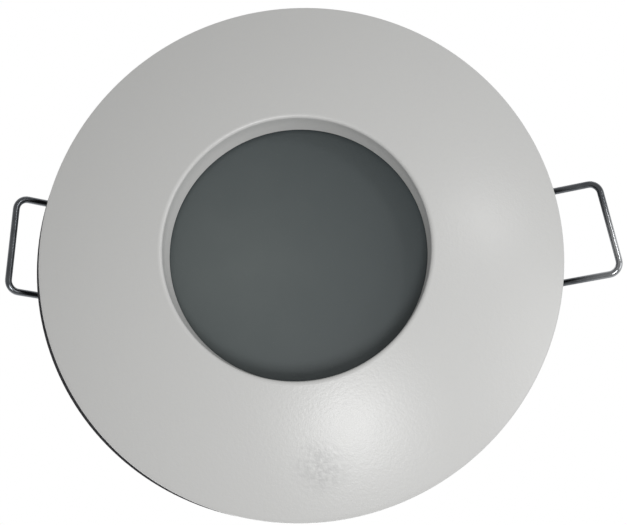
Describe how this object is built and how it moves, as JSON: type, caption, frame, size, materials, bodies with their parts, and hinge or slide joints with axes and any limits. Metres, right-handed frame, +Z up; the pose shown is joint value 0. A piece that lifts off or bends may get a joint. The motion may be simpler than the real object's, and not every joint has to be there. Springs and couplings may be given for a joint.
{
  "type": "soffit downlight",
  "caption": "Round recessed outdoor downlight: domed white trim, sunk frosted glass, rear can with a cable gland, and two sprung wire loops that clamp it in a soffit.",
  "frame": {"origin": "middle of the plane where the foam ring meets the underside of the soffit", "axes": "+Z up into the soffit along the can, +X towards the right-hand clip as the face is seen from below, +Y across"},
  "size_m": [0.1074, 0.09, 0.1069],
  "materials": {
    "white_powder_coat": "satin powder coat with a fine orange peel",
    "black_foam": "closed-cell foam",
    "clear_silicone": "soft silicone",
    "frosted_glass": "acid-etched toughened glass, dark with the lamp off",
    "zinc_sheet": "zinc-plated sheet steel",
    "drawn_aluminium": "drawn and turned aluminium",
    "zinc_fastener": "zinc-plated steel",
    "aluminium_rivet": "dull aluminium",
    "coated_reflector": "aluminised glass bowl",
    "lamp_glass": "clear pressed glass",
    "white_ceramic": "unglazed white ceramic",
    "nickel": "nickel-plated pins",
    "brass": "plain brass",
    "black_rubber": "moulded rubber",
    "black_nylon": "moulded nylon",
    "spring_wire": "bright drawn spring wire"
  },
  "bodies": {
    "housing": {"bezel": "white_powder_coat", "ceiling_gasket": "black_foam", "glass_seal": "clear_silicone", "front_glass": "frosted_glass", "glass_clamp_ring": "zinc_sheet", "can_seal": "clear_silicone", "rear_can": "drawn_aluminium", "can_screws": "zinc_fastener", "lamp_reflector": "coated_reflector", "lamp_lens": "lamp_glass", "lamp_capsule": "lamp_glass", "lamp_base": "white_ceramic", "lamp_pins": "nickel", "lampholder_body": "white_ceramic", "lampholder_contacts": "brass", "holder_bracket": "zinc_sheet", "holder_screws": "zinc_fastener", "earth_screw": "brass", "bracket_rivets": "aluminium_rivet", "gland_washer": "black_rubber", "gland_body": "black_nylon", "gland_locknut": "black_nylon", "gland_insert": "black_rubber", "gland_nut": "black_nylon", "right_clip_bracket": "zinc_sheet", "right_clip_rivets": "aluminium_rivet", "right_hinge_pin": "zinc_fastener", "right_pin_cap": "zinc_fastener", "right_spring_coil_1": "spring_wire", "right_spring_coil_2": "spring_wire", "left_clip_bracket": "zinc_sheet", "left_clip_rivets": "aluminium_rivet", "left_hinge_pin": "zinc_fastener", "left_pin_cap": "zinc_fastener", "left_spring_coil_1": "spring_wire", "left_spring_coil_2": "spring_wire"},
    "right_clip": {"right_spring_loop": "spring_wire"},
    "left_clip": {"left_spring_loop": "spring_wire"}
  },
  "joints": [
    {"name": "right_clip_fold", "type": "hinge", "parent": "housing", "child": "right_clip", "pos_m": [0.03275, -0.00402, 0.01503], "axis": [-0.1219, -0.9925, 0], "range_deg": [0, 104], "stiffness_Nm_per_rad": 0.8, "deforming": ["right_spring_coil_1", "right_spring_coil_2"]},
    {"name": "left_clip_fold", "type": "hinge", "parent": "housing", "child": "left_clip", "pos_m": [-0.03292, -0.0023, 0.01503], "axis": [-0.0698, 0.9976, 0], "range_deg": [0, 122], "stiffness_Nm_per_rad": 0.8, "deforming": ["left_spring_coil_1", "left_spring_coil_2"]}
  ]
}
